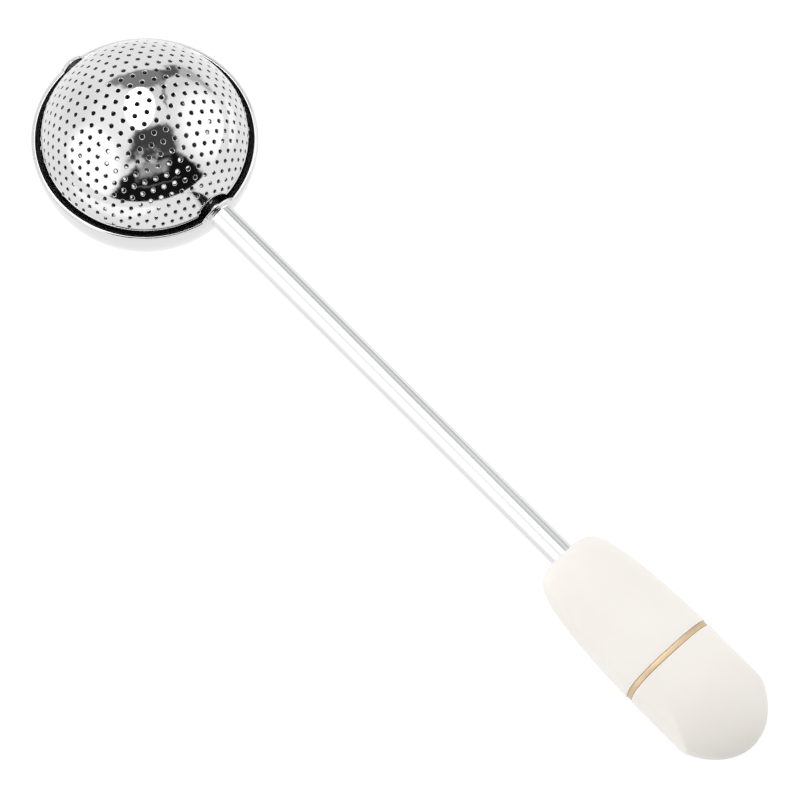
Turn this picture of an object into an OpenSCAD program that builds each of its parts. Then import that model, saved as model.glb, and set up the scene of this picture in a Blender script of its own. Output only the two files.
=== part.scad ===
// Tea infuser with a ball that opens by turning the end of its handle.
// The origin is the centre of the ball. +X runs along the stem to the handle's end,
// +Z is the side of the perforated dome when the ball is closed. All sizes are in mm.

/* [Ball] */
// Outside diameter of the lower cup
ball_d = 45; // [44.5:0.1:46]
// Sheet thickness of the cup
cup_wall = 0.75; // [0.6:0.05:0.8]
// Height of the cup's lip above the turning axis
lip_z = 0.25; // [0:0.05:0.6]
// Radius of the cup's ear that carries the stem
stem_ear_r = 4.4; // [4:0.1:5]
// How far the centre of that ear lies below the turning axis
stem_ear_drop = 1.35; // [1:0.05:1.6]
// Radius of the cup's ear that carries the rivet
rivet_ear_r = 2.6; // [2.4:0.1:3]
// How far the centre of that ear lies below the turning axis
rivet_ear_drop = 0.55; // [0.3:0.05:0.7]
// Radius of the sphere that the dome is pressed from
dome_r = 21.25; // [21:0.05:21.3]
// How far the centre of that sphere lies below the turning axis
dome_drop = 3.25; // [3.1:0.05:3.4]
// Sheet thickness of the dome
dome_wall = 0.45; // [0.35:0.05:0.5]
// How far the dome's rim reaches below the turning axis
rim_drop = 1.5; // [1:0.1:2]
// Radius of the two ears of the dome
dome_ear_r = 3; // [2.9:0.1:3.2]

/* [Perforation] */
// Diameter of one drain hole
hole_d = 0.92; // [0.8:0.01:1.1]
// Distance between the centres of neighbouring holes, along the sheet
hole_pitch = 2.495; // [2.4:0.005:2.6]
// Angle of the rows of holes to the stem, in degrees
lattice_turn = 7.25; // [0:0.25:60]
// Height of the plain polished band below the cup's lip, as degrees of arc
plain_band = 36; // [30:1:45]

/* [Stem] */
// Outside diameter of the tube
tube_d = 5.16; // [5:0.02:5.2]
// Bore of the tube
tube_bore = 3.9; // [3.8:0.1:4]
// Diameter of the rod that turns the dome
rod_d = 2.8; // [2.6:0.1:2.9]
// Radial running clearance of the rod and of the far pivot
run_gap = 0.05; // [0.03:0.01:0.08]

/* [Handle] */
// Distance from the ball's centre to the front of the grip
grip_x = 119.4; // [117:0.1:121]
// Distance from the ball's centre to the joint between grip and accent ring
ring_x = 147.1; // [146.5:0.1:148]
// Full width of the handle
handle_w = 20.5; // [20:0.1:21.5]
// Full thickness of the handle
handle_t = 14.5; // [14.2:0.1:15.5]
// Squareness of the handle's oval section, where 2 is an ellipse
oval_n = 2.65; // [2.3:0.05:2.8]
// Length of the turning knob
knob_len = 22.05; // [21:0.05:24]
// Half width of the flattened egg that shapes the knob's end
end_r = 12.4; // [11.5:0.1:13]
// Half length of the same egg
end_a = 17; // [15:0.5:18]

/* [Hidden] */

$fn = 96;
steel = [0.83, 0.84, 0.85];
wire_steel = [0.70, 0.71, 0.73];
ivory = [0.95, 0.94, 0.92];
gold = [0.83, 0.66, 0.38];
bush_white = [0.88, 0.88, 0.86];
black = [0.12, 0.12, 0.12];

cup_r = ball_d / 2;
cup_in = cup_r - cup_wall;
dome_in = dome_r - dome_wall;
far = 2 * cup_r;
rod_r = rod_d / 2;
tube_r = tube_d / 2;
bore_r = tube_bore / 2;

// The lattice of holes is drawn on the flat sheet and wrapped on the sphere.
row_step = hole_pitch * sin(60);
lattice_x = -0.435 * hole_pitch;
lattice_y = 0.065 * hole_pitch;
lattice_n = 16;
// No hole comes nearer than this to the turning axis, or in height to the dome's rim
ear_clear = 3.3;
edge_clear = 3.2;

// Far pivot
rivet_r = 1.2;
rivet_head_r = 1.7;
rivet_head_t = 0.15;
rivet_in_x = 19.85;
rivet_in_t = 0.5;
rivet_in_r = 2.1;
pivot_washer_x = 21.3;
pivot_washer_t = 0.25;
washer_out_r = 1.9;

// Boss inside the dome at the stem side, and the washer in the gap to the cup
boss_r = 1.9;
boss_x = 18.8;
boss_flange_r = 2.9;
boss_flange_x = 19.1;
boss_washer_x = 21.3;
boss_washer_t = 0.2;

// Weld bead where the tube meets the cup
collar_r = 2.95;
collar_x = cup_r + 0.25;
fillet_r = 0.35;

// Tube and bushes
bush_x = 21.75;
tube_end = ring_x - 5.1;
front_bush_len = 6;
rear_sleeve = 8;
rear_head_r = 3.3;
seal_x = ring_x - 0.8;
seal_r = 0.45;
seal_room_r = 2.45;
seal_room_x = ring_x - 2.5;

// Inside of the handle
core_r = 4.9;
core_x = grip_x + 8;
ring_t = 1;
ring_recess = 0.2;
ring_hole_r = 5.9;
bearing_r = 4.2;
boss_face = ring_x + ring_t - 0.1;
knob_x = ring_x + ring_t + 0.15;
tip_x = knob_x + knob_len;
hub_x = boss_face + 0.6;
hub_r = 4;
hub_end = hub_x + 9;
washer_t = 0.4;
washer_r = 3.85;
nut_af_r = 2.7;
nut_t = 2.4;
nut_room_r = 3.1;
rod_end = hub_end + nut_t + 0.7;

// The pin runs in a half-round track and meets its ends at 0 and at 180 degrees
pin_r = 0.7;
pin_at = 5.05;
pin_x = ring_x + 0.25;
pin_end = knob_x + 4.2;
pin_play = 1.2;
stop_angle = 180 - 2 * asin(pin_r / pin_at) - 2 * pin_play;

// Stations and sectors of the two lofted handle shells
sectors = 48;
grip_len = ring_x - grip_x;
nose_power = 1.56;
nose_blunt = 0.163;
edge_round = 1;
half_w = handle_w / 2;
half_t = handle_t / 2;
// The end is cut by a flattened egg, wider than the section and just as thick
end_t = half_t + 0.02;
last_turn = 86;
end_c = tip_x - end_a * sin(last_turn);
corner_turn = acos(half_w / end_r);

// ---------- helpers ----------

// Cylinder along X from x0 to x1
module rod_x(x0, x1, r, sides = 96)
  translate([x0, 0, 0])
    rotate([0, 90, 0])
      cylinder(h = x1 - x0, r = r, $fn = sides);

// Ring along X from x0 to x1
module ring_x_axis(x0, x1, r_out, r_in)
  difference() {
    rod_x(x0, x1, r_out);
    rod_x(x0 - 1, x1 + 1, r_in);
  }

// Angle from the pole, and compass angle, of hole (i, j) on a sphere of radius r
function flat_xy(i, j) = [hole_pitch * (i + j / 2) + lattice_x,
                          row_step * j + lattice_y];
function pole_angle(p, r) = norm(p) / r * 180 / PI;
function compass(p) = atan2(p.y, p.x) + lattice_turn;
function off_axis(phi, turn, r, drop) =
  norm([r * sin(phi) * sin(turn), r * cos(phi) - drop]);

// Radial drill cylinders through a shell of radius r whose centre lies drop below the axis
module drills(r, max_phi, drop)
  for (i = [-lattice_n : lattice_n])
    for (j = [-lattice_n : lattice_n])
      let (p = flat_xy(i, j),
           phi = pole_angle(p, r),
           turn = compass(p))
        if (phi < max_phi && off_axis(phi, turn, r, drop) > ear_clear)
          rotate([0, 0, turn])
            rotate([0, phi, 0])
              translate([0, 0, r - 1.5])
                cylinder(h = 3, d = hole_d, $fn = 32);

// Superellipse point at angle t with half axes a and b
function oval(t, a, b) = [a * sign(cos(t)) * pow(abs(cos(t)), 2 / oval_n),
                          b * sign(sin(t)) * pow(abs(sin(t)), 2 / oval_n)];
function ring_pts(a, b) = [for (k = [0 : sectors - 1]) oval(360 * k / sectors, a, b)];

// Skin over rings that all have the same number of points
module loft(rings) {
  n = len(rings[0]);
  m = len(rings);
  pts = [for (ring = rings) each ring];
  sides = [for (k = [0 : m - 2])
             for (i = [0 : n - 1])
               let (a = k * n + i,
                    b = k * n + (i + 1) % n)
                 each [[a, a + n, b], [b, a + n, b + n]]];
  first = [for (i = [0 : n - 1]) i];
  last = [for (i = [n - 1 : -1 : 0]) (m - 1) * n + i];
  polyhedron(points = pts, faces = concat(sides, [first, last]));
}

// Grip: share of the full width at u, where u is 0 at the ring and 1 at the front
function nose(u) = pow(1 - pow(u, nose_power), nose_blunt);
grip_steps = 17;
function grip_u(k) = 0.9985 * sin(90 * k / grip_steps);
function grip_ring(u) =
  [for (q = ring_pts(half_w * nose(u), half_t * nose(u)))
     [ring_x - grip_len * u, q.x, q.y]];

// Knob: a rounded front edge, then a straight part cut off by the flattened egg
front_steps = 4;
side_steps = 4;
end_steps = 12;
function front_inset(x) =
  x > edge_round ? 0 : edge_round - sqrt(pow(edge_round, 2) - pow(edge_round - x, 2));
function clip(q, c) =
  let (k = norm([q.x / (end_r * c), q.y / (end_t * c)]))
    k > 1 ? q / k : q;
function knob_ring(x) =
  let (in = front_inset(x - knob_x),
       s = max(0, x - end_c) / end_a,
       c = sqrt(1 - s * s))
    [for (q = ring_pts(half_w - in, half_t - in))
       let (w = clip(q, c))
         [x, w.x, w.y]];
function knob_stations() =
  concat([for (k = [0 : front_steps]) knob_x + edge_round * (1 - cos(90 * k / front_steps))],
         [for (k = [0 : side_steps - 1]) end_c + end_a * sin(corner_turn * k / side_steps)],
         [for (k = [0 : end_steps])
            end_c + end_a * sin(corner_turn + (last_turn - corner_turn) * k / end_steps)]);

// ---------- body that is held: cup, stem and grip ----------

module outer_cup()
  color(steel)
    difference() {
      sphere(r = cup_r);
      sphere(r = cup_in);
      difference() {
        translate([-far, -far, lip_z])
          cube([2 * far, 2 * far, far]);
        translate([0, 0, -stem_ear_drop])
          rod_x(0, far, stem_ear_r);
        translate([0, 0, -rivet_ear_drop])
          rod_x(-far, 0, rivet_ear_r);
      }
      rod_x(0, far, bore_r);
      rod_x(-far, 0, rivet_r);
      mirror([0, 0, 1])
        drills(cup_r, 90 - plain_band, 0);
    }

module stem_collar()
  color(steel)
    rotate([0, 90, 0])
      rotate_extrude()
        difference() {
          translate([tube_r, cup_r - 1])
            square([collar_r - tube_r, collar_x - cup_r + 1]);
          translate([tube_r + fillet_r + 0.04, collar_x + 0.04])
            circle(r = fillet_r);
          circle(r = cup_r, $fn = 360);
        }

module stem_tube()
  color(steel)
    difference() {
      ring_x_axis(bush_x, tube_end, tube_r, bore_r);
      sphere(r = cup_r);
    }

module front_bush()
  color(bush_white)
    ring_x_axis(bush_x, bush_x + front_bush_len, bore_r, rod_r + run_gap);

module rear_bush()
  color(bush_white)
    difference() {
      union() {
        rod_x(tube_end - rear_sleeve, tube_end + 0.1, bore_r);
        rod_x(tube_end, boss_face, rear_head_r);
      }
      rod_x(tube_end - 20, boss_face + 1, rod_r + run_gap);
      rod_x(seal_room_x, boss_face + 1, seal_room_r);
    }

module grip_shell()
  color(ivory)
    difference() {
      loft([for (k = [0 : grip_steps]) grip_ring(grip_u(k))]);
      rod_x(core_x, ring_x + 1, core_r);
      rod_x(grip_x - 2, core_x + 1, tube_r);
    }

module grip_core()
  color(bush_white)
    difference() {
      union() {
        rod_x(core_x, boss_face, bearing_r);
        rod_x(core_x, ring_x, core_r);
        stop_block();
      }
      rod_x(core_x - 1, tube_end + 0.1, tube_r);
      rod_x(tube_end, boss_face + 1, rear_head_r);
    }

// The part of the rear boss that the pin can't pass
module stop_block()
  intersection() {
    rod_x(ring_x, boss_face, ring_hole_r);
    translate([ring_x - 1, 0, 0])
      rotate([0, 90, 0])
        linear_extrude(3)
          polygon([[0, 0],
                   [far * cos(stop_angle / 2), far * sin(stop_angle / 2)],
                   [far, far],
                   [far, -far],
                   [far * cos(stop_angle / 2), -far * sin(stop_angle / 2)]]);
  }

module accent_ring()
  color(gold)
    difference() {
      translate([ring_x, 0, 0])
        rotate([90, 0, 90])
          linear_extrude(ring_t)
            polygon(ring_pts(half_w - ring_recess, half_t - ring_recess));
      rod_x(ring_x - 1, ring_x + ring_t + 1, ring_hole_r);
    }

module pivot_rivet()
  color(steel)
    union() {
      rod_x(-cup_r + 0.02, -rivet_in_x + 0.1, rivet_r);
      rod_x(-rivet_in_x, -rivet_in_x + rivet_in_t, rivet_in_r);
      intersection() {
        difference() {
          sphere(r = cup_r + rivet_head_t);
          sphere(r = cup_r);
        }
        rod_x(-far, 0, rivet_head_r);
      }
    }

module pivot_washer()
  color(black)
    ring_x_axis(-pivot_washer_x - pivot_washer_t, -pivot_washer_x, washer_out_r, rivet_r);

// ---------- body that turns: dome, rod and knob ----------

module inner_dome()
  color(steel)
    difference() {
      translate([0, 0, -dome_drop])
        difference() {
          sphere(r = dome_r);
          sphere(r = dome_in);
          drills(dome_r, acos((dome_drop - rim_drop + edge_clear) / dome_r), dome_drop);
        }
      difference() {
        translate([-far, -far, -far - rim_drop])
          cube([2 * far, 2 * far, far]);
        rod_x(-far, far, dome_ear_r);
      }
      rod_x(0, far, rod_r);
      rod_x(-far, 0, rivet_r + run_gap);
    }

module drive_boss()
  color(wire_steel)
    difference() {
      union() {
        rod_x(boss_x, boss_flange_x + 0.3, boss_r);
        intersection() {
          rod_x(boss_flange_x, cup_r, boss_flange_r);
          translate([0, 0, -dome_drop])
            sphere(r = dome_in, $fn = 300);
        }
      }
      rod_x(boss_x - 1, cup_r, rod_r);
    }

module boss_washer()
  color(black)
    ring_x_axis(boss_washer_x, boss_washer_x + boss_washer_t, washer_out_r, rod_r);

module drive_rod()
  color(wire_steel)
    rod_x(boss_x, rod_end, rod_r);

module friction_ring()
  color(black)
    translate([seal_x, 0, 0])
      rotate([0, 90, 0])
        rotate_extrude()
          translate([rod_r + seal_r, 0])
            circle(r = seal_r);

module thrust_washer()
  color(bush_white)
    ring_x_axis(hub_x - washer_t, hub_x, washer_r, rod_r);

module knob_hub()
  color(wire_steel)
    ring_x_axis(hub_x, hub_end, hub_r, rod_r);

module rod_nut()
  color(wire_steel)
    difference() {
      rod_x(hub_end, hub_end + nut_t, nut_af_r, 6);
      rod_x(hub_end - 1, hub_end + nut_t + 1, rod_r);
    }

module stop_pin()
  color(wire_steel)
    translate([0, pin_at, 0])
      rod_x(pin_x, pin_end, pin_r);

module knob_shell()
  color(ivory)
    difference() {
      loft([for (x = reversed(knob_stations())) knob_ring(x)]);
      rod_x(knob_x - 1, hub_end, hub_r);
      rod_x(hub_end - 1, rod_end + 0.8, nut_room_r);
      translate([0, pin_at, 0])
        rod_x(knob_x - 1, pin_end, pin_r);
    }

function reversed(v) = [for (k = [len(v) - 1 : -1 : 0]) v[k]];

// ---------- nodes ----------

outer_cup();
stem_collar();
stem_tube();
front_bush();
rear_bush();
grip_shell();
grip_core();
accent_ring();
pivot_rivet();
pivot_washer();
inner_dome();
drive_boss();
boss_washer();
drive_rod();
friction_ring();
thrust_washer();
knob_hub();
rod_nut();
stop_pin();
knob_shell();
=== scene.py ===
"""Looks for the turning-ball tea infuser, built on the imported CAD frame.

Lengths are in metres. The origin is the centre of the ball, +X runs along the stem to the handle, and
+Z points to the top of the dome. Angles in the studio part are (azimuth, elevation) in degrees, seen
from the origin, with azimuth 0 along +X and 90 along +Y.
"""
import math

import bpy
import numpy as np
from mathutils import Matrix, Vector


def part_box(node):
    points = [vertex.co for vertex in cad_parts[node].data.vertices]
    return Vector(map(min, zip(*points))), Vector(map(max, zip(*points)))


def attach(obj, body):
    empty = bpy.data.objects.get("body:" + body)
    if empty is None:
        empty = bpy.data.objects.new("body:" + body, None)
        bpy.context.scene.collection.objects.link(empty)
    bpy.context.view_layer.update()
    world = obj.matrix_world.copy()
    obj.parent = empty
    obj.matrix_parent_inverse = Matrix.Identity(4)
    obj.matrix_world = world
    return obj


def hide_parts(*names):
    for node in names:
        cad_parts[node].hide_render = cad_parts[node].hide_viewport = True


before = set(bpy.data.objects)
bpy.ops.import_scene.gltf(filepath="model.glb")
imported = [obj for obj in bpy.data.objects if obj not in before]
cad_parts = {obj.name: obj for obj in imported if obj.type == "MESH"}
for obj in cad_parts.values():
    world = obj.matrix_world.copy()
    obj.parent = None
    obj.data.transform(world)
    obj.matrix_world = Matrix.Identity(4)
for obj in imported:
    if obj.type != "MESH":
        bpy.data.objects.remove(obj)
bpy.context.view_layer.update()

MM = 0.001
HELD, TURNS = "cup_and_grip", "dome_and_knob"    # the two moving bodies

# ---------- sizes read from the frame ----------
CUP_R = round(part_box("outer_cup")[1].y, 4)
DOME_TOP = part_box("inner_dome")[1].z
DOME_EAR = -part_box("inner_dome")[0].z
TUBE_X, TUBE_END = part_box("stem_tube")[0].x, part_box("stem_tube")[1].x
TUBE_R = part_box("stem_tube")[1].z
GRIP_LO, GRIP_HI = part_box("grip_shell")
RING_LO, RING_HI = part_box("accent_ring")
KNOB_LO, KNOB_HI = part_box("knob_shell")
RIVET_LO, RIVET_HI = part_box("pivot_rivet")
COLLAR_LO, COLLAR_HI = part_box("stem_collar")
HALF_W, HALF_T = KNOB_HI.y, KNOB_HI.z            # half the handle's width and thickness

# ---------- sizes shared with part.scad ----------
CUP_WALL = 0.75 * MM
DOME_R = 21.25 * MM
DOME_WALL = 0.45 * MM
DOME_Z = DOME_TOP - DOME_R
LIP_Z = 0.25 * MM
RIM_Z = -1.5 * MM
STEM_EAR = (4.4 * MM, 1.35 * MM)      # radius, and how far its centre lies below the axis
RIVET_EAR = (2.6 * MM, 0.55 * MM)
HOLE_R = 0.46 * MM
PITCH = 2.495 * MM
LATTICE_TURN = math.radians(7.25)
LATTICE_SHIFT = (-0.435 * PITCH, 0.065 * PITCH)
PLAIN_BAND = math.radians(36)         # the cup has no holes this close to its lip
EAR_CLEAR = 3.3 * MM
EDGE_CLEAR = 3.2 * MM
RIVET_HEAD_R, RIVET_SHANK_R, RIVET_HEAD_T = 1.7 * MM, 1.2 * MM, 0.5 * MM
OVAL = 2.65                           # power of the handle's superellipse section
NOSE_POWER, NOSE_BLUNT = 1.56, 0.163
END_R, END_A = 12.4 * MM, 17 * MM     # the flattened egg that cuts the knob's end
END_T = HALF_T + 0.02 * MM
END_X = KNOB_HI.x - END_A             # where the egg's middle lies

# ---------- detail only the eye needs ----------
DIMPLE = 0.12 * MM         # rounding that punching leaves round each hole
INNER_BREAK = 0.04 * MM    # small break on the inside of each hole
EDGE_SMOOTH = 0.35 * MM    # reach over which the direction of a sheet's edge is evened out
LIP_ROUND = 0.5            # how far a sheet's edge bulges, as a share of half its thickness
LIP_LEAN = 2.4             # above 1, the top of the edge slopes outwards before it turns in
SIDES = 24                 # points round one cell of the lattice
EDGE_ROWS = 7              # strips across a sheet's rolled edge
KNOB_EDGE = 0.35 * MM      # rounding where the knob meets the ring
RING_GAP = 0.04 * MM       # turning gap left between ring and knob
RING_EDGE = 0.1 * MM
SEAT = 0.05 * MM           # how far a stem piece runs into its neighbour, so that no light shows
AROUND = 160               # points round the handle's section
STATIONS = 90              # sections along each rounded end of the handle


# ================= materials =================
class Nodes:
    """A node tree with a Principled shader, and short ways to add to it."""

    def __init__(self, name, **sockets):
        self.mat = bpy.data.materials.new(name)
        self.mat.use_nodes = True
        self.tree = self.mat.node_tree
        self.bsdf = self.tree.nodes["Principled BSDF"]
        for key, value in sockets.items():
            self.bsdf.inputs[key.replace("_", " ")].default_value = value
        self.coords = self.add("ShaderNodeTexCoord").outputs["Object"]

    def add(self, kind, **inputs):
        node = self.tree.nodes.new(kind)
        for key, value in inputs.items():
            socket = node.inputs[key.replace("_", " ")]
            if isinstance(value, bpy.types.NodeSocket):
                self.tree.links.new(value, socket)
            else:
                socket.default_value = value
        return node

    def link(self, out, name):
        self.tree.links.new(out, self.bsdf.inputs[name])

    def stretched(self, scale):
        node = self.add("ShaderNodeMapping", Vector=self.coords)
        node.inputs["Scale"].default_value = scale
        return node.outputs["Vector"]

    def noise(self, scale, detail=2.0, rough=0.5, at=None):
        node = self.add("ShaderNodeTexNoise", Vector=at or self.coords, Scale=scale,
                        Detail=detail, Roughness=rough)
        return node.outputs["Fac"]

    def remap(self, value, to_lo, to_hi, lo=0.0, hi=1.0):
        node = self.add("ShaderNodeMapRange", Value=value, From_Min=lo, From_Max=hi,
                        To_Min=to_lo, To_Max=to_hi)
        return node.outputs["Result"]

    def blend_colour(self, fac, a, b):
        ramp = self.add("ShaderNodeValToRGB", Fac=fac)
        ramp.color_ramp.elements[0].color = (*a, 1.0)
        ramp.color_ramp.elements[1].color = (*b, 1.0)
        ramp.color_ramp.elements[0].position = 0.3
        ramp.color_ramp.elements[1].position = 0.7
        return ramp.outputs["Color"]

    def bump(self, height, distance, under=None):
        node = self.add("ShaderNodeBump", Height=height, Distance=distance, Strength=1.0)
        if under is not None:
            self.tree.links.new(under, node.inputs["Normal"])
        return node.outputs["Normal"]


def polished_steel(name, light, dark, grain=(1, 1, 1), wave=2.0e-5, rough=(0.03, 0.09)):
    """Mirror-polished sheet: slow waves of the pressing, hairline polishing marks, faint smears."""
    n = Nodes(name, Metallic=1.0)
    smear = n.noise(90, detail=3)
    n.link(n.blend_colour(smear, dark, light), "Base Color")
    hair = n.noise(2600, detail=3, at=n.stretched(grain))
    mixed = n.add("ShaderNodeMath", Value=smear)
    mixed.operation = "MULTIPLY"
    n.tree.links.new(hair, mixed.inputs[1])
    n.link(n.remap(mixed.outputs[0], rough[0], rough[1], 0.1, 0.45), "Roughness")
    slow = n.bump(n.noise(70, detail=1), wave)
    n.link(n.bump(hair, 2.0e-7, slow), "Normal")
    return n.mat


def turned_steel(name, colour):
    """Drawn or turned steel inside the stem: fine lines across its axis."""
    n = Nodes(name, Metallic=1.0)
    lines = n.noise(900, detail=4, at=n.stretched((6, 1, 1)))
    n.link(n.blend_colour(lines, tuple(c * 0.85 for c in colour), colour), "Base Color")
    n.link(n.remap(lines, 0.22, 0.38), "Roughness")
    n.link(n.bump(lines, 3e-6), "Normal")
    return n.mat


def moulded_plastic(name, light, dark, rough=(0.42, 0.55), grain=1.6e-5, scatter=0.0):
    """Matt moulded plastic: a fine spark-eroded grain over a slightly uneven colour."""
    n = Nodes(name, IOR=1.46)
    n.bsdf.inputs["Subsurface Weight"].default_value = scatter
    n.bsdf.inputs["Subsurface Radius"].default_value = (1.2 * MM, 0.9 * MM, 0.7 * MM)
    n.bsdf.inputs["Subsurface Scale"].default_value = 1.0
    cloud = n.noise(60, detail=4)
    n.link(n.blend_colour(cloud, dark, light), "Base Color")
    fine = n.noise(3200, detail=3, rough=0.6)
    n.link(n.remap(fine, *rough, 0.3, 0.7), "Roughness")
    soft = n.bump(n.noise(260, detail=2), grain * 0.8)
    n.link(n.bump(fine, grain, soft), "Normal")
    return n.mat


def gold_ring():
    """Thin pale gold trim, satin, with fine lines round it."""
    n = Nodes("ring_gold", Metallic=1.0)
    lines = n.noise(1500, detail=3, at=n.stretched((8, 1, 1)))
    n.link(n.blend_colour(lines, (0.60, 0.455, 0.285), (0.69, 0.54, 0.36)), "Base Color")
    n.link(n.remap(lines, 0.45, 0.55), "Roughness")
    n.link(n.bump(lines, 3e-6), "Normal")
    return n.mat


def seal_rubber():
    n = Nodes("seal_rubber", Roughness=0.6)
    fine = n.noise(2200, detail=2)
    n.link(n.blend_colour(fine, (0.03, 0.03, 0.03), (0.07, 0.07, 0.07)), "Base Color")
    n.link(n.bump(fine, 8e-6), "Normal")
    return n.mat


STEEL = polished_steel("sheet_steel", (0.72, 0.72, 0.722), (0.68, 0.68, 0.683))
TUBE_STEEL = polished_steel("tube_steel", (0.745, 0.748, 0.755), (0.71, 0.713, 0.72),
                            grain=(0.04, 1, 1), wave=0.6e-5, rough=(0.12, 0.20))
# The inner faces of both sheets take darker copies of the sheet steel. This is painted shade that keeps the
# holes and the inside of the cup dark. Both copies are also rougher than the polished outside.
DOME_INSIDE_PAINTED_SHADE = polished_steel("dome_inside_painted_shade", (0.52, 0.522, 0.53), (0.46, 0.462, 0.47), rough=(0.22, 0.32))
CUP_INSIDE_PAINTED_SHADE = polished_steel("cup_inside_painted_shade", (0.22, 0.22, 0.225), (0.17, 0.17, 0.175), rough=(0.3, 0.4))
WIRE = turned_steel("turned_steel", (0.66, 0.67, 0.69))
IVORY = moulded_plastic("ivory_plastic", (0.835, 0.80, 0.757), (0.812, 0.772, 0.727), scatter=0.12)
WHITE = moulded_plastic("bearing_plastic", (0.80, 0.80, 0.77), (0.74, 0.74, 0.71),
                        rough=(0.3, 0.4), grain=8e-6)
BLACK = moulded_plastic("dark_bearing", (0.035, 0.035, 0.035), (0.025, 0.025, 0.025),
                        rough=(0.4, 0.5), grain=8e-6)
GOLD = gold_ring()
RUBBER = seal_rubber()


# ================= mesh helpers =================
def new_piece(name, verts, faces, normals, material, body, slot, *nodes, shaded_inside=None, shaded_faces=None):
    mesh = bpy.data.meshes.new(name)
    mesh.from_pydata([tuple(v) for v in verts], [], [tuple(f) for f in faces])
    mesh.update()
    mesh.shade_smooth()
    if normals is not None:
        mesh.normals_split_custom_set_from_vertices([tuple(n) for n in normals])
    mesh.materials.append(material)
    # a second material for the faces marked 1: the darker inside steel, which paints shade
    if shaded_inside is not None:
        mesh.materials.append(shaded_inside)
        mesh.polygons.foreach_set("material_index", shaded_faces)
    obj = bpy.data.objects.new(name, mesh)
    bpy.context.scene.collection.objects.link(obj)
    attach(obj, body)
    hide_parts(*nodes)
    return obj


def rim_table(radius, centre_z, sign, edge_z, stem_ear, rivet_ear):
    """Polar angle of the sheet's edge for each compass angle: a level rim with two round ears."""
    turns = np.linspace(0, 2 * math.pi, 2881)
    phis = np.linspace(math.radians(60), math.radians(110), 5001)
    z = centre_z + sign * radius * np.cos(phis)
    y = radius * np.outer(np.sin(turns), np.sin(phis))
    ahead = np.cos(turns) > 0
    ear = np.where(ahead, stem_ear[0], rivet_ear[0])[:, None]
    drop = np.where(ahead, stem_ear[1], rivet_ear[1])[:, None]
    inside = (sign * z > sign * edge_z)[None, :] | (y ** 2 + (z[None, :] + drop) ** 2 < ear ** 2)
    last = inside.shape[1] - 1 - np.argmax(inside[:, ::-1], axis=1)
    return lambda turn: np.interp(turn % (2 * math.pi), turns, phis[last])


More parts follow.
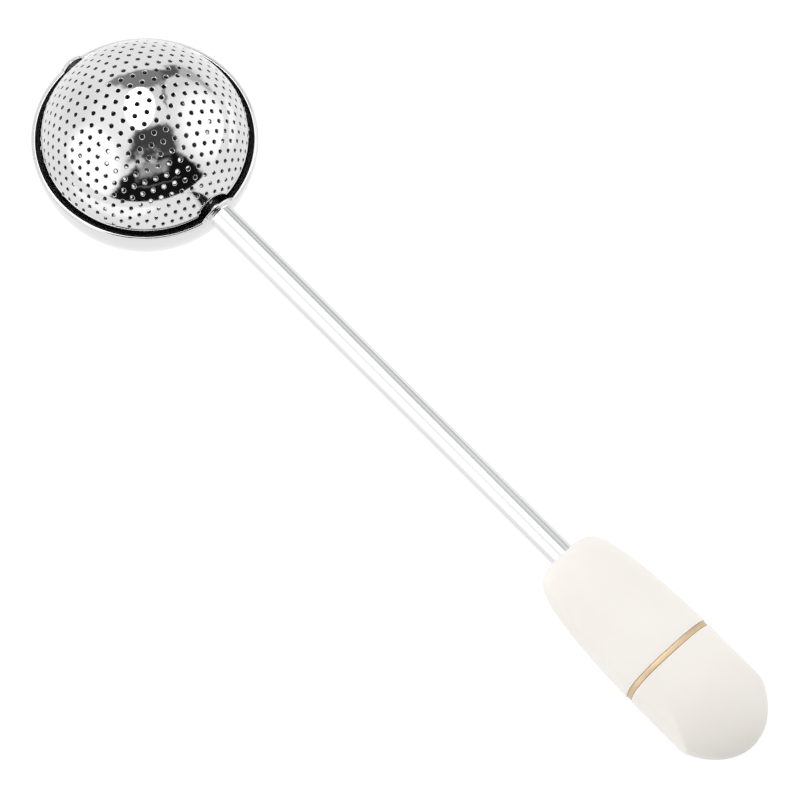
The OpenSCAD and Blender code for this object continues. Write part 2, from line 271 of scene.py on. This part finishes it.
def perforated_shell(name, radius, centre_z, sign, wall, rim, edge_z, max_hole,
                     shaded_inside, body, slot, node):
    """A spherical sheet with the lattice of punched holes, both faces, hole walls and a rolled edge.

    The sheet is laid out flat in polar form, where the distance from the pole is the arc length, in
    hexagonal cells that share their edges. sign is 1 for the dome and -1 for the cup. rim gives the
    polar angle of the sheet's edge, edge_z is the level of its lip, and max_hole is the polar angle
    beyond which there are no holes.
    """
    verts, norms, faces, shaded_faces, shared = [], [], [], [], {}
    outer_faces = []

    def place(x, y, depth):
        r = math.hypot(x, y)
        turn = math.atan2(y, x) + LATTICE_TURN
        phi = r / radius
        d = np.array([math.sin(phi) * math.cos(turn), math.sin(phi) * math.sin(turn),
                      sign * math.cos(phi)])
        return d * (radius - depth) + np.array([0, 0, centre_z]), d

    def clamp(x, y):
        r = math.hypot(x, y)
        limit = radius * float(rim(math.atan2(y, x) + LATTICE_TURN))
        return (x * limit / r, y * limit / r, True) if r > limit else (x, y, False)

    def surface_vertex(x, y, inner):
        x, y, at_edge = clamp(x, y)
        key = (round(x / MM, 3), round(y / MM, 3), inner)
        if key not in shared:
            p, d = place(x, y, wall if inner else 0.0)
            shared[key] = len(verts)
            verts.append(p)
            norms.append(-d if inner else d)
        return shared[key], at_edge

    def band(a, b, edge_a, edge_b, inner, keep, shaded_inside=False):
        for k in range(SIDES):
            m = (k + 1) % SIDES
            quad = [a[k], a[m], b[m], b[k]]
            if edge_a[k] and edge_a[m] and edge_b[k] and edge_b[m]:
                continue
            quad = [v for i, v in enumerate(quad) if v != quad[i - 1]]
            if len(set(quad)) > 2:
                face = quad if inner != (sign > 0) else quad[::-1]
                faces.append(face)
                # inner faces and the inner part of each hole wall take the darker inside steel as painted
                # shade; faces past the lip's level, on the ears, keep the polished steel
                past_lip = sign * (verts[face[0]][2] - edge_z) < 0
                shaded_faces.append(int((inner or shaded_inside) and not past_lip))
                if keep:
                    outer_faces.append(face)

    angles = [2 * math.pi * k / SIDES for k in range(SIDES)]
    sixth = math.pi / 3
    apothem = [PITCH / 2 / math.cos((a + sixth / 2) % sixth - sixth / 2) for a in angles]
    no_edge = [False] * SIDES
    reach = radius * math.radians(100) + PITCH
    count = int(reach / PITCH) + 3
    profile = [(HOLE_R + DIMPLE * (1 - math.sin(b)), DIMPLE * (1 - math.cos(b)), b)
               for b in (0.0, math.pi / 6, math.pi / 3, math.pi / 2)]
    profile.insert(0, (HOLE_R + DIMPLE * 1.25, 0.0, 0.0))
    profile += [(HOLE_R, wall - INNER_BREAK, math.pi / 2),
                (HOLE_R + INNER_BREAK, wall, math.pi),
                (HOLE_R + DIMPLE, wall, math.pi)]
    for j in range(-count, count + 1):
        for i in range(-count, count + 1):
            cx = PITCH * (i + j / 2) + LATTICE_SHIFT[0]
            cy = PITCH * j * math.sin(sixth) + LATTICE_SHIFT[1]
            r = math.hypot(cx, cy)
            turn = math.atan2(cy, cx) + LATTICE_TURN
            if r > radius * float(rim(turn)) + PITCH:
                continue
            corners = [(cx + d * math.cos(a), cy + d * math.sin(a)) for a, d in zip(angles, apothem)]
            centre, axis = place(cx, cy, 0.0)
            holed = r / radius < max_hole and math.hypot(centre[1], centre[2]) > EAR_CLEAR
            rings = []
            for inner in (False, True):
                made = [surface_vertex(x, y, inner) for x, y in corners]
                rings.append(([v for v, _ in made], [e for _, e in made]))
            if holed:
                loops = []
                for hr, depth, tilt in profile:
                    loop = []
                    for a in angles:
                        p, d = place(cx + hr * math.cos(a), cy + hr * math.sin(a), depth)
                        to_axis = (centre - axis * depth) - p
                        to_axis -= d * float(to_axis @ d)
                        to_axis /= np.linalg.norm(to_axis)
                        loop.append(len(verts))
                        verts.append(p)
                        norms.append(d * math.cos(tilt) + to_axis * math.sin(tilt))
                    loops.append(loop)
                band(rings[0][0], loops[0], rings[0][1], no_edge, False, True)
                for n, (a, b) in enumerate(zip(loops, loops[1:])):
                    band(a, b, no_edge, no_edge, False, False, shaded_inside=n > 4)
                band(loops[-1], rings[1][0], no_edge, rings[1][1], False, False, shaded_inside=True)
            else:
                for inner in (False, True):
                    ring, edge = rings[inner]
                    for share in (0.66, 0.33):
                        made = [surface_vertex(cx + (x - cx) * share, cy + (y - cy) * share, inner)
                                for x, y in corners]
                        nxt, nxt_edge = [v for v, _ in made], [e for _, e in made]
                        band(ring, nxt, edge, nxt_edge, inner, not inner)
                        ring, edge = nxt, nxt_edge
                    mid, mid_edge = surface_vertex(cx, cy, inner)
                    band(ring, [mid] * SIDES, edge, [mid_edge] * SIDES, inner, not inner)

    # the rolled edge joins the two faces of the sheet all round the rim
    seen = dict.fromkeys((a, b) for face in outer_faces for a, b in zip(face, face[1:] + face[:1]))
    back = {v: k for k, v in shared.items()}
    open_edges = [(a, b) for a, b in seen if (b, a) not in seen and a in back and b in back]
    open_edges = [(a, b) for a, b in open_edges
                  if clamped_key(back[a], clamp) and clamped_key(back[b], clamp)]
    outward = {}
    for a, b in open_edges:
        along = verts[b] - verts[a]
        away = np.cross(along, norms[a])
        away /= np.linalg.norm(away) + 1e-12
        for v in (a, b):
            outward[v] = outward.get(v, 0) + away
    keys = list(outward)
    spots = np.array([verts[v] for v in keys])
    ways = np.array([outward[v] for v in keys])
    near = np.exp(-((spots[:, None, :] - spots[None, :, :]) ** 2).sum(axis=2) / (2 * EDGE_SMOOTH ** 2))
    outward = dict(zip(keys, near @ ways))
    column = {}
    for v, away in outward.items():
        away = away / np.linalg.norm(away)
        key = back[v]
        other = shared.get((key[0], key[1], True))
        line = [v]
        for k in range(1, EDGE_ROWS):
            t = k / EDGE_ROWS
            g = math.pi * t
            p = verts[v] * (1 - (1 - math.cos(g)) / 2) + verts[other] * (1 - math.cos(g)) / 2
            verts.append(p + away * math.sin(g) * wall / 2 * LIP_ROUND)
            lean = math.pi * t ** LIP_LEAN
            norms.append(norms[v] * math.cos(lean) + away * math.sin(lean))
            line.append(len(verts) - 1)
        column[v] = line + [other]
    for a, b in open_edges:
        for k in range(EDGE_ROWS):
            faces.append([column[b][k], column[a][k], column[a][k + 1], column[b][k + 1]])
            shaded_faces.append(0)
    return new_piece(name, verts, faces, norms, STEEL, body, slot, node,
                     shaded_inside=shaded_inside, shaded_faces=shaded_faces)


def clamped_key(key, clamp):
    """True if a shared point lies on the sheet's edge."""
    x, y = key[0] * MM, key[1] * MM
    grown = 1 + 2e-3 * MM / max(math.hypot(x, y), MM)
    return clamp(x * grown, y * grown)[2]


def lathe(name, profile, material, body, slot, *nodes, sides=128, sharp=35):
    """A turned piece about the stem's axis, from (x, radius) pairs."""
    verts, faces = [], []
    for x, r in profile:
        for k in range(sides):
            a = 2 * math.pi * k / sides
            verts.append((x, r * math.cos(a), r * math.sin(a)))
    for i in range(len(profile) - 1):
        for k in range(sides):
            m = (k + 1) % sides
            faces.append((i * sides + k, (i + 1) * sides + k, (i + 1) * sides + m, i * sides + m))
    faces.append(tuple(range(sides)))
    faces.append(tuple(range(len(verts) - 1, len(verts) - 1 - sides, -1)))
    obj = new_piece(name, verts, faces, None, material, body, slot, *nodes)
    obj.data.set_sharp_from_angle(angle=math.radians(sharp))
    return obj


def rounded(x0, x1, r, edge, steps=4):
    """Profile of a disc or collar from x0 to x1 with both rims rounded."""
    turns = [math.pi / 2 * k / steps for k in range(steps + 1)]
    first = [(x0 + edge * (1 - math.sin(t)), r - edge * (1 - math.cos(t))) for t in reversed(turns)]
    last = [(x1 - edge * (1 - math.sin(t)), r - edge * (1 - math.cos(t))) for t in turns]
    return first + last


def oval(turn, a, b, power=OVAL):
    c, s = math.cos(turn), math.sin(turn)
    return (math.copysign(abs(c) ** (2 / power), c) * a, math.copysign(abs(s) ** (2 / power), s) * b)


def loft(name, rings, material, body, slot, *nodes, sharp=50):
    """Skin over closed rings of equal count; both ends are closed flat."""
    n = len(rings[0])
    verts = [p for ring in rings for p in ring]
    faces = []
    for i in range(len(rings) - 1):
        for k in range(n):
            m = (k + 1) % n
            faces.append((i * n + k, (i + 1) * n + k, (i + 1) * n + m, i * n + m))
    faces.append(tuple(range(n)))
    faces.append(tuple(range(len(verts) - 1, len(verts) - 1 - n, -1)))
    obj = new_piece(name, verts, faces, None, material, body, slot, *nodes)
    obj.data.set_sharp_from_angle(angle=math.radians(sharp))
    return obj


# ================= the ball =================
dome_rim = rim_table(DOME_R, DOME_Z, 1, RIM_Z, (DOME_EAR, 0.0), (DOME_EAR, 0.0))
cup_rim = rim_table(CUP_R, 0.0, -1, LIP_Z, STEM_EAR, RIVET_EAR)
# both sheets: polished steel outside, with painted shade (darker steel) on the inner faces
perforated_shell(
    "dome_sheet", DOME_R, DOME_Z, 1, DOME_WALL, dome_rim, RIM_Z,
    math.acos((RIM_Z - DOME_Z + EDGE_CLEAR) / DOME_R), DOME_INSIDE_PAINTED_SHADE, TURNS, "polished_steel", "inner_dome")
perforated_shell(
    "cup_sheet", CUP_R, 0.0, -1, CUP_WALL, cup_rim, LIP_Z,
    math.pi / 2 - PLAIN_BAND, CUP_INSIDE_PAINTED_SHADE, HELD, "polished_steel", "outer_cup")

# ================= stem =================
tube_end = rounded(TUBE_END - 1 * MM, TUBE_END, TUBE_R, 0.1 * MM)[1:]
lathe("stem_pipe", [(TUBE_X - SEAT, TUBE_R)] + tube_end,
      TUBE_STEEL, HELD, "polished_steel", "stem_tube")

# the weld between cup and tube has a hollow fillet
bead = COLLAR_HI.z - TUBE_R
collar_profile = [(COLLAR_LO.x - SEAT, COLLAR_HI.z)]
for k in range(9):
    t = math.pi / 2 * k / 8
    collar_profile.append((COLLAR_LO.x + 0.03 * MM + 1.1 * bead * (1 - math.cos(t)),
                           COLLAR_HI.z - bead * math.sin(t) * 0.995))
lathe("weld_collar", collar_profile, STEEL, HELD, "polished_steel", "stem_collar")

# far pivot: a rivet ground almost flush outside, with a flat head inside
crown = -RIVET_LO.x
shoulder = -CUP_R + 0.3 * MM
rivet_profile = [(-math.sqrt(crown ** 2 - (RIVET_HEAD_R * q) ** 2), RIVET_HEAD_R * q + 1e-6)
                 for q in (0, 0.25, 0.5, 0.7, 0.85, 0.94)]
rivet_profile += [(-CUP_R + 0.04 * MM, RIVET_HEAD_R), (shoulder, RIVET_HEAD_R),
                  (shoulder, RIVET_SHANK_R), (RIVET_HI.x - RIVET_HEAD_T, RIVET_SHANK_R)]
rivet_profile += rounded(RIVET_HI.x - RIVET_HEAD_T, RIVET_HI.x, RIVET_HI.y, 0.12 * MM)
lathe("far_rivet", rivet_profile, STEEL, HELD, "polished_steel", "pivot_rivet")

# ================= handle =================
turns = [2 * math.pi * k / AROUND for k in range(AROUND)]


def oval_ring(x, a, b):
    return [(x, *oval(t, a, b)) for t in turns]


# the grip narrows to a blunt nose at the stem
grip_len = GRIP_HI.x - GRIP_LO.x
grip_rings = [oval_ring(GRIP_HI.x, HALF_W - 0.12 * MM, HALF_T - 0.12 * MM),
              oval_ring(GRIP_HI.x - 0.04 * MM, HALF_W - 0.03 * MM, HALF_T - 0.03 * MM)]
for k in range(1, STATIONS + 1):
    u = math.sin(math.pi / 2 * k / STATIONS) * 0.9997
    w = (1 - u ** NOSE_POWER) ** NOSE_BLUNT
    grip_rings.append(oval_ring(GRIP_HI.x - grip_len * u, HALF_W * w, HALF_T * w))
loft("grip_skin", grip_rings, IVORY, HELD, "ivory_plastic", "grip_shell")

ring_rings = [oval_ring(x, RING_HI.y - (HALF_W - r), RING_HI.z - (HALF_W - r))
              for x, r in rounded(RING_LO.x, KNOB_LO.x - RING_GAP, HALF_W, RING_EDGE)]
loft("gold_trim", ring_rings, GOLD, HELD, "gold_ring", "accent_ring")


def soft_clip(y, z, c):
    """Pull a point of the oval section inside the egg's section, whose size is the share c."""
    k = math.hypot(y / (END_R * c), z / (END_T * c))
    soft = 0.004
    m = (k + 1 + math.sqrt((k - 1) ** 2 + soft ** 2)) / 2
    return y / m, z / m


def clipped_ring(x, inset, c):
    return [(x, *soft_clip(*oval(t, HALF_W - inset, HALF_T - inset), c)) for t in turns]


knob_rings = []
for k in range(9):
    t = math.pi / 2 * k / 8
    inset = KNOB_EDGE * (1 - math.sin(t))
    knob_rings.append(clipped_ring(KNOB_LO.x + KNOB_EDGE * (1 - math.cos(t)), inset, 1.0))
for k in range(1, 13):
    x = KNOB_LO.x + KNOB_EDGE + (END_X - KNOB_LO.x - KNOB_EDGE) * k / 12
    knob_rings.append(clipped_ring(x, 0.0, 1.0))
for k in range(1, STATIONS + 1):
    t = math.radians(88.6) * k / STATIONS
    knob_rings.append(clipped_ring(END_X + END_A * math.sin(t), 0.0, math.cos(t)))
knob_rings.reverse()
loft("knob_skin", knob_rings, IVORY, TURNS, "ivory_plastic", "knob_shell")

# ================= carried-over CAD pieces =================
for node, material in {
        "front_bush": WHITE, "rear_bush": WHITE, "grip_core": WHITE, "pivot_washer": BLACK,
        "boss_washer": BLACK, "thrust_washer": WHITE, "drive_boss": WIRE, "drive_rod": WIRE,
        "knob_hub": WIRE, "rod_nut": WIRE, "stop_pin": WIRE, "friction_ring": RUBBER}.items():
    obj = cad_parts[node]
    obj.data.materials.clear()
    obj.data.materials.append(material)
    obj.data.shade_smooth()
    obj.data.set_sharp_from_angle(angle=math.radians(30))

# ================= stage =================
FLOOR_HALF = 0.45          # its far edge shows in the dome about 3 degrees below the horizon
FLOOR_DROP = 0.05 * MM     # clearance under the object
# painted pools of light on the floor under the two soft lights, in mm: centre x, y, half widths in x, y; then
# extra light
FLOOR_POOLS = ((60, -100, 105, 45, 0.25), (50, 118, 50, 55, 0.22))

# The infuser lies on its cup and on the underside of its knob, so the floor slopes to touch both.
slope = 0.0
for _ in range(6):
    slope = min(math.atan2(CUP_R / math.cos(slope) - HALF_T * math.cos(t), END_X + END_A * math.sin(t))
                for t in np.linspace(0, 1.2, 121))


def floor_material():
    """A white floor that lights the object softly from below, takes no shadow and carries painted pools of
    light.
    """
    mat = bpy.data.materials.new("studio_floor")
    mat.use_nodes = True
    tree = mat.node_tree
    bsdf = tree.nodes["Principled BSDF"]
    bsdf.inputs["Base Color"].default_value = (0.05, 0.05, 0.05, 1)
    bsdf.inputs["Roughness"].default_value = 0.9
    bsdf.inputs["Specular IOR Level"].default_value = 0.1
    bsdf.inputs["Emission Color"].default_value = (1, 1, 1, 1)
    spot = tree.nodes.new("ShaderNodeTexCoord").outputs["Object"]
    total = None
    # each pool is extra emission in a soft spot of the floor: a painted pool of light
    for px, py, rx, ry, extra in FLOOR_POOLS:
        place = tree.nodes.new("ShaderNodeMapping")
        place.inputs["Location"].default_value = (-px / rx, -py / ry, 0)
        place.inputs["Scale"].default_value = (1 / (rx * MM), 1 / (ry * MM), 1 / (rx * MM))
        falloff = tree.nodes.new("ShaderNodeTexGradient")
        falloff.gradient_type = "SPHERICAL"
        pool = tree.nodes.new("ShaderNodeMapRange")
        pool.interpolation_type = "SMOOTHSTEP"
        pool.inputs["From Max"].default_value = 0.4
        pool.inputs["To Max"].default_value = extra
        add = tree.nodes.new("ShaderNodeMath")
        add.inputs[1].default_value = 1.0
        tree.links.new(spot, place.inputs["Vector"])
        tree.links.new(place.outputs["Vector"], falloff.inputs["Vector"])
        tree.links.new(falloff.outputs["Fac"], pool.inputs["Value"])
        tree.links.new(pool.outputs["Result"], add.inputs[0])
        if total is not None:
            tree.links.new(total, add.inputs[1])
        total = add.outputs[0]
    tree.links.new(total, bsdf.inputs["Emission Strength"])
    return mat


floor_mesh = bpy.data.meshes.new("studio_floor")
floor_mesh.from_pydata([(x * FLOOR_HALF, y * FLOOR_HALF, 0) for x, y in ((-1, -1), (1, -1), (1, 1), (-1, 1))],
                       [], [(0, 1, 2, 3)])
floor_mesh.materials.append(floor_material())
floor = bpy.data.objects.new("studio_floor", floor_mesh)
bpy.context.scene.collection.objects.link(floor)
floor.rotation_euler = (0, -slope, 0)
floor.location = (0, 0, -CUP_R / math.cos(slope) - FLOOR_DROP)

# ================= light tent =================
WALL = 1.07                # light from the tent's plain walls
BEHIND_FLOOR = 1.25        # what the camera sees past the floor: plain white
# soft lights on the walls: azimuth, elevation, strength, radius of the full part, outer radius
GLOWS = ((-104, 18, 0.62, 12, 40), (58, 22, 0.5, 5, 40), (-138, 58, 0.12, 8, 40))
# Patches of another brightness, painted in this order: convex outline, softness of its edge, tone.
WALL_PATCHES = (
    # a slightly dimmer strip of wall beyond the stem
    (((101, -4), (112, -2), (124, 10), (134, 62), (104, 56), (99, 30)), 0.07, 0.93),
    # the gap between the roof and the far wall, seen over the overhead light
    (((176, 26), (150, 27), (127, 24), (117, 34), (118, 42), (130, 51), (160, 50)), 0.055, 0.27),
    (((127, 26), (118, 7), (106, 4), (112, 24), (118, 38)), 0.04, 0.12),
    (((118, 8), (92, -2), (90, 4), (110, 20)), 0.04, 0.6),
    # the seam that runs from that gap to the camera's opening
    (((122, 40), (104, 60), (73, 69), (47, 66), (50, 61), (72, 63), (98, 55), (114, 38)), 0.025, 0.38),
)
# the opening for the camera: a narrow top and a wide skirt that ends at the floor
OPENING_PATCHES = (
    (((-88, 76), (50, 64), (13, 41), (-67, 42)), 0.08, 0.065),
    (((-58, 48), (8, 45), (16, 30), (19, 3), (8, -3), (-60, -5), (-84, -4), (-67, 25)), 0.06, 0.008),
)
# mottled grey and a plain grey patch seen through the opening, and a thin bright edge below them
MOTTLED = ((-58, 54), (-16, 60), (-8, 42), (-16, 31), (-50, 28), (-57, 42))
GREY = ((-48, 44), (-8, 42), (-16, 33), (-48, 27))
BRIGHT_EDGE = ((-53, 17.5), (-2, 20), (-2, 18.6), (-53, 16))

world = bpy.data.worlds.new("light_tent")
bpy.context.scene.world = world
world.use_nodes = True
tent = world.node_tree
tent.nodes.clear()


def direction(azimuth, elevation):
    a, e = math.radians(azimuth), math.radians(elevation)
    return Vector((math.cos(a) * math.cos(e), math.sin(a) * math.cos(e), math.sin(e)))


def tent_node(kind, operation=None, **inputs):
    """A node of the tent. Inputs are given by name, or as i0, i1 for those that share a name."""
    node = tent.nodes.new(kind)
    if operation:
        node.operation = operation
    for key, value in inputs.items():
        by_number = key[0] == "i" and key[1:].isdigit()
        socket = node.inputs[int(key[1:])] if by_number else node.inputs[key.replace("_", " ")]
        if isinstance(value, bpy.types.NodeSocket):
            tent.links.new(value, socket)
        else:
            socket.default_value = value
    return node


def vector_math(operation, a, b):
    return tent_node("ShaderNodeVectorMath", operation, i0=a, i1=b).outputs["Vector"]


def maths(operation, a, b):
    return tent_node("ShaderNodeMath", operation, i0=a, i1=b).outputs[0]


# directions are shifted a little by noise, so that the edges of the patches aren't ruled lines
sky = tent_node("ShaderNodeTexCoord").outputs["Generated"]
ripple = tent_node("ShaderNodeTexNoise", Vector=sky, Scale=9.0, Detail=3.0).outputs["Color"]
centred = vector_math("SUBTRACT", ripple, (0.5, 0.5, 0.5))
rippled = vector_math("ADD", sky, vector_math("MULTIPLY", centred, (0.16, 0.16, 0.16)))


def facing(vector, view=sky):
    return tent_node("ShaderNodeVectorMath", "DOT_PRODUCT", i0=view, i1=tuple(vector)).outputs["Value"]


def step(value, lo, hi):
    node = tent_node("ShaderNodeMapRange", Value=value, From_Min=lo, From_Max=hi)
    node.interpolation_type = "SMOOTHERSTEP"
    return node.outputs["Result"]


def inside(corners, soft):
    """1 within the convex patch of the tent that has these corners, 0 outside it."""
    views = [direction(*c) for c in corners]
    middle = sum(views, Vector())
    value = None
    for p, q in zip(views, views[1:] + views[:1]):
        edge = p.cross(q).normalized()
        if edge.dot(middle) < 0:
            edge = -edge
        part = step(facing(edge, rippled), -soft, soft)
        value = part if value is None else maths("MULTIPLY", value, part)
    return value


def paint(base, mask, tone):
    """base where the mask is 0, tone where it is 1"""
    kept = maths("MULTIPLY", base, maths("SUBTRACT", 1.0, mask))
    return maths("ADD", kept, maths("MULTIPLY", mask, tone))


level = WALL
for az, el, strength, inner, outer in GLOWS:
    glow = step(facing(direction(az, el)), math.cos(math.radians(outer)), math.cos(math.radians(inner)))
    level = maths("ADD", level, maths("MULTIPLY", glow, strength))
far_left = step(facing(direction(-165, 12)), 0.88, 0.99)
level = maths("SUBTRACT", level, maths("MULTIPLY", far_left, 0.05))
for corners, soft, tone in WALL_PATCHES + OPENING_PATCHES:
    level = paint(level, inside(corners, soft), tone)
grain = tent_node("ShaderNodeTexNoise", Vector=sky, Scale=6.0, Detail=4.0).outputs["Fac"]
level = paint(level, maths("MULTIPLY", inside(MOTTLED, 0.12), step(grain, 0.42, 0.66)), 0.75)
level = paint(level, maths("MULTIPLY", inside(GREY, 0.07), 0.8), 0.45)
level = paint(level, inside(BRIGHT_EDGE, 0.008), 0.12)

white = (1, 1, 1, 1)
studio = tent_node("ShaderNodeBackground", Strength=level, Color=white).outputs[0]
plain = tent_node("ShaderNodeBackground", Strength=BEHIND_FLOOR, Color=white).outputs[0]
is_camera = tent_node("ShaderNodeLightPath").outputs["Is Camera Ray"]
either = tent_node("ShaderNodeMixShader", i0=is_camera, i1=studio, i2=plain).outputs[0]
tent_node("ShaderNodeOutputWorld", Surface=either)

# the overhead light, an oval softbox
LAMP_DISTANCE = 0.9
LAMP_HALF_ANGLES = math.radians(24), math.radians(15)
lamp = bpy.data.lights.new("overhead", "AREA")
lamp.shape = "ELLIPSE"
lamp.size, lamp.size_y = (2 * LAMP_DISTANCE * math.tan(a) for a in LAMP_HALF_ANGLES)
lamp.energy = 2.1
overhead = bpy.data.objects.new("overhead", lamp)
bpy.context.scene.collection.objects.link(overhead)
aim = direction(156, 74.5)
overhead.location = aim * LAMP_DISTANCE
long_way = (direction(145, 49) - direction(-76, 81)).normalized()
side_way = aim.cross(long_way).normalized()
long_way = side_way.cross(aim).normalized()
overhead.rotation_mode = "QUATERNION"
overhead.rotation_quaternion = Matrix((long_way, side_way, aim)).transposed().to_quaternion()

# ================= camera =================
CAM_AZ, CAM_EL, CAM_ROLL = math.radians(40.2), math.radians(67.0), math.radians(7.11)
CAM_DIST = 0.7
CAM_TARGET = Vector((70.2, 4.8, -17.7)) * MM
back = Vector((math.sin(CAM_AZ) * math.cos(CAM_EL), -math.cos(CAM_AZ) * math.cos(CAM_EL),
               math.sin(CAM_EL)))
level_right = Vector((math.cos(CAM_AZ), math.sin(CAM_AZ), 0))
level_up = back.cross(level_right)
right_dir = level_right * math.cos(CAM_ROLL) + level_up * math.sin(CAM_ROLL)
up_dir = level_up * math.cos(CAM_ROLL) - level_right * math.sin(CAM_ROLL)
camera_data = bpy.data.cameras.new("camera")
camera_data.lens = 158.5
camera_data.sensor_width = 36
camera_data.clip_start = 0.01
camera_data.clip_end = 50
camera = bpy.data.objects.new("camera", camera_data)
bpy.context.scene.collection.objects.link(camera)
turned = Matrix((right_dir, up_dir, back)).transposed().to_4x4()
camera.matrix_world = Matrix.Translation(CAM_TARGET + back * CAM_DIST) @ turned
bpy.context.scene.camera = camera
bpy.context.scene.view_settings.view_transform = "Standard"
